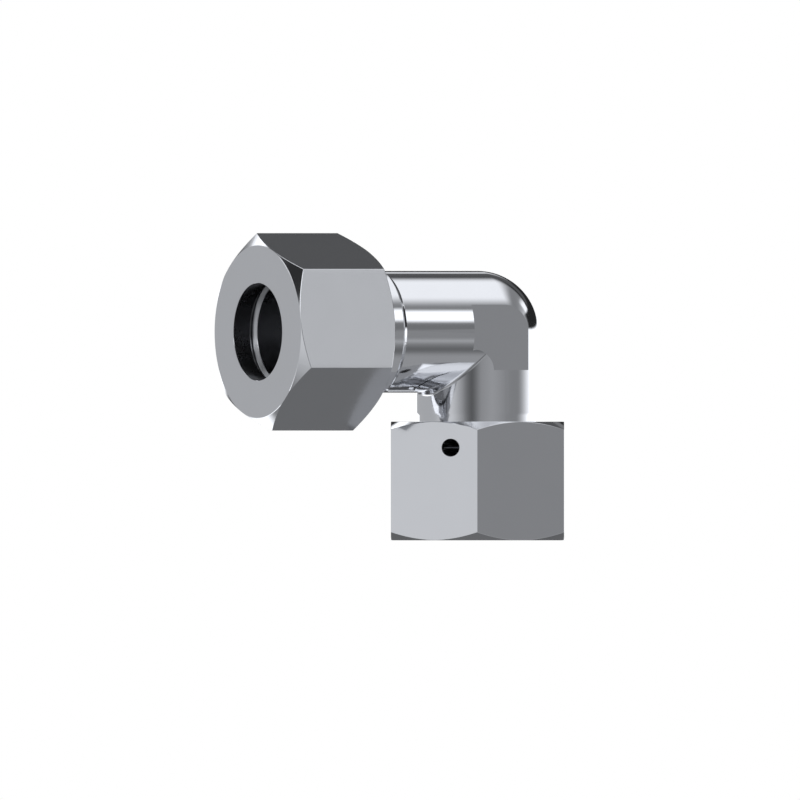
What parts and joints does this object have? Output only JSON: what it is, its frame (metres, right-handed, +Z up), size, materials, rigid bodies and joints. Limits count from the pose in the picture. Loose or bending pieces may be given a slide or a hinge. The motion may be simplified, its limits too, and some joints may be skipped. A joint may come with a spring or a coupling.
{
  "type": "adjustable elbow fitting",
  "caption": "Ninety degree steel tube elbow with a compression nut on a cone stud and a swivel nut held by a wire on a cone nose with O-ring.",
  "frame": {"origin": "centre of the swivel nut's mouth face, on the swivel axis", "axes": "+Z up along the swivel axis towards the elbow, the tube leg runs towards -X and takes its tube from there, and the wrench flats face -Y and +Y"},
  "size_m": [0.0552, 0.029, 0.0479],
  "materials": {
    "body": "forged and machined steel, polished zinc-nickel plate",
    "ring": "turned and hardened steel, satin",
    "tube_nut": "turned hexagon steel, bright plate",
    "swivel_nut": "turned hexagon steel, bright plate",
    "wire": "drawn steel wire, bright",
    "seal": "black nitrile rubber, satin"
  },
  "bodies": {
    "elbow": {"elbow_body": "body", "o_ring": "seal"},
    "cutting_ring": {"cutting_ring": "ring"},
    "tube_nut": {"tube_nut": "tube_nut"},
    "swivel_nut": {"swivel_nut": "swivel_nut", "retaining_wire": "wire"}
  },
  "joints": [
    {"name": "swivel_turn", "type": "hinge", "parent": "elbow", "child": "swivel_nut", "pos_m": [0, 0, 0], "axis": [0, 0, 1], "continuous": true},
    {"name": "ring_slide", "type": "slide", "parent": "elbow", "child": "cutting_ring", "axis": [-1, 0, 0], "range_m": [0, 0.00546]},
    {"name": "tube_nut_screw", "type": "hinge", "parent": "cutting_ring", "child": "tube_nut", "pos_m": [-0.03, 0, 0.0325], "axis": [-1, 0, 0], "range_deg": [0, 1305]}
  ],
  "couplings": [
    {"joint": "ring_slide", "follows": "tube_nut_screw", "m_per_rad": 0.00023873}
  ]
}
